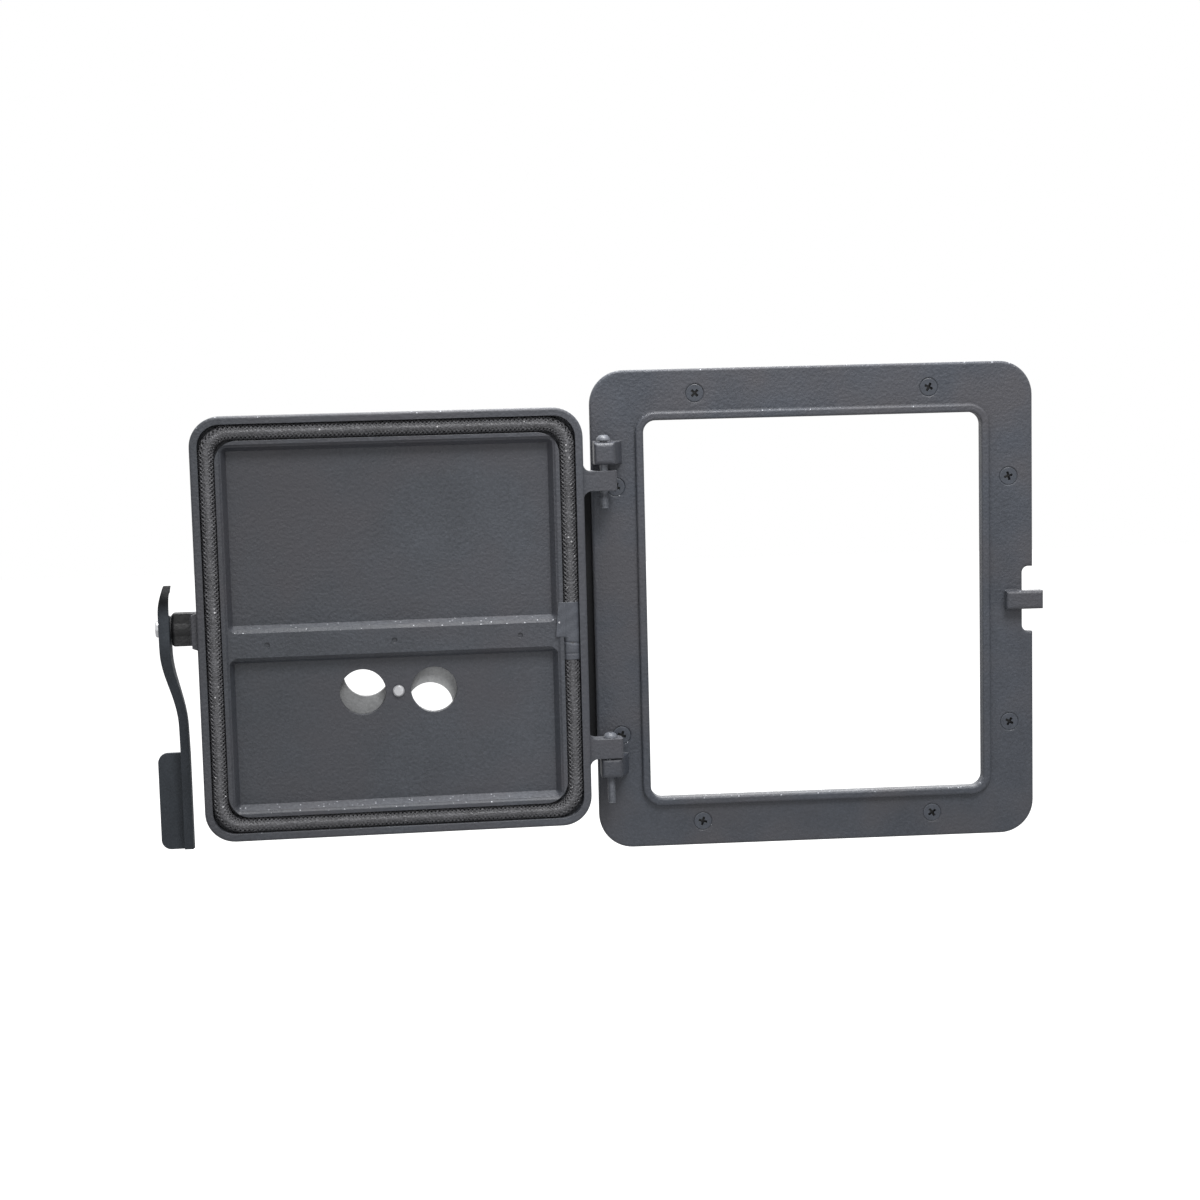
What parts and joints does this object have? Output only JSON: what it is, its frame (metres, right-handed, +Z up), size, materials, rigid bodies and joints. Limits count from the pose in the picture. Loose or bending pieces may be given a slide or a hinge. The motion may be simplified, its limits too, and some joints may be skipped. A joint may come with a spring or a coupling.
{
  "type": "fireplace insert door",
  "caption": "Cast fireplace insert door: frame plate, hinged leaf with rope seal and air regulator disc, and a hook lever that catches a keeper peg on the frame.",
  "frame": {"origin": "middle of the fire opening, on the wall side of the frame plate", "axes": "+X to the right and +Y into the wall for someone in the room, +Z up"},
  "size_m": [0.5512, 0.0609, 0.297],
  "materials": {
    "painted_casting": "heat-proof dark grey paint over fine cast grain",
    "painted_screw": "the same paint over steel",
    "disc_casting": "lighter grey paint",
    "zinc": "zinc plated",
    "rope": "braided mineral rope, painted over",
    "patch": "woven glass tape, painted over"
  },
  "bodies": {
    "frame": {"frame_plate": "painted_casting", "angle_frame": "painted_casting", "frame_screws": "painted_screw", "frame_nuts": "zinc", "upper_hinge_pin": "painted_screw"},
    "door": {"door_leaf": "painted_casting", "sealing_rope": "rope", "rope_patch": "patch", "lower_hinge_pin": "painted_screw", "latch_bolt": "zinc", "latch_washer": "zinc", "air_bolt": "zinc", "air_washer": "zinc"},
    "latch": {"latch_lever": "painted_casting"},
    "regulator": {"air_disc": "disc_casting"}
  },
  "joints": [
    {"name": "door_hinge", "type": "hinge", "parent": "frame", "child": "door", "pos_m": [-0.1304, -0.0185, 0], "axis": [0, 0, 1], "range_deg": [0, 177]},
    {"name": "latch_pivot", "type": "hinge", "parent": "door", "child": "latch", "pos_m": [-0.39348, -0.02378, 0.0006], "axis": [0.9986, 0.0523, 0], "range_deg": [0, 120]},
    {"name": "regulator_turn", "type": "hinge", "parent": "door", "child": "regulator", "pos_m": [-0.25927, -0.02045, -0.0414], "axis": [-0.0523, 0.9986, 0], "range_deg": [-29, 61]}
  ]
}
